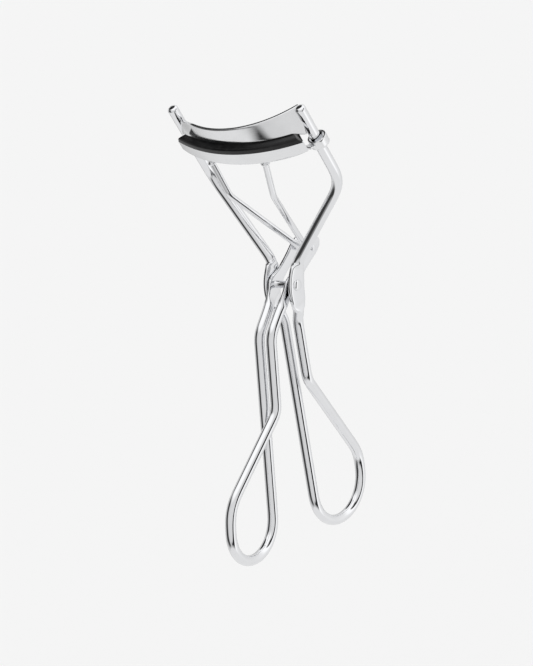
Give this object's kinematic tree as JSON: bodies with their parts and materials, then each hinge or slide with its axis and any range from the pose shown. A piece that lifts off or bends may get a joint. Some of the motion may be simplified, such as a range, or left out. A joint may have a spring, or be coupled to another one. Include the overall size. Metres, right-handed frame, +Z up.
{
  "type": "eyelash curler",
  "caption": "Hand-held eyelash curler of bent chrome wire: two looped handles on a rivet, a fixed curved plate and a sliding lower jaw with a black rubber pad.",
  "frame": {"origin": "the centre of the pivot rivet, midway between its two heads", "axes": "+X across the jaw along the rivet, towards the right-hand post; +Z up the length, from the finger loops to the jaw; -Y towards the side to which the jaw bulges and the lever handle leans"},
  "size_m": [0.0376, 0.0497, 0.1],
  "materials": {
    "chrome_wire": "polished chrome plate on drawn steel wire",
    "chrome_sheet": "chrome plate on pressed steel sheet, slightly softer shine",
    "pad_rubber": "black silicone rubber, satin"
  },
  "bodies": {
    "frame": {"frame_right_side": "chrome_wire", "frame_left_side": "chrome_wire", "frame_finger_loop": "chrome_wire", "upper_plate": "chrome_sheet", "pivot_rivet": "chrome_wire"},
    "lever": {"lever_right_arm": "chrome_wire", "lever_left_arm": "chrome_wire", "lever_finger_loop": "chrome_wire"},
    "lower_jaw": {"jaw_channel": "chrome_sheet", "lash_pad": "pad_rubber", "right_guide_eyelet": "chrome_sheet", "left_guide_eyelet": "chrome_sheet"},
    "right_link": {"link_right_rod": "chrome_wire"},
    "left_link": {"link_left_rod": "chrome_wire"}
  },
  "joints": [
    {"name": "lever_pivot", "type": "hinge", "parent": "frame", "child": "lever", "pos_m": [0, 0, 0], "axis": [-1, 0, 0], "range_deg": [0, 28]},
    {"name": "jaw_slide", "type": "slide", "parent": "frame", "child": "lower_jaw", "axis": [0, 0.4695, -0.8829], "range_m": [0, 0.005]},
    {"name": "right_link_swing", "type": "hinge", "parent": "lever", "child": "right_link", "pos_m": [0, 0.009, 0.00541], "axis": [1, 0, 0], "range_deg": [0, 27]},
    {"name": "left_link_swing", "type": "hinge", "parent": "lever", "child": "left_link", "pos_m": [0, 0.009, 0.00541], "axis": [1, 0, 0], "range_deg": [0, 27]}
  ],
  "couplings": [
    {"joint": "jaw_slide", "follows": "lever_pivot", "m_per_rad": 0.01017},
    {"joint": "right_link_swing", "follows": "lever_pivot", "ratio": 0.948},
    {"joint": "left_link_swing", "follows": "lever_pivot", "ratio": 0.948}
  ]
}
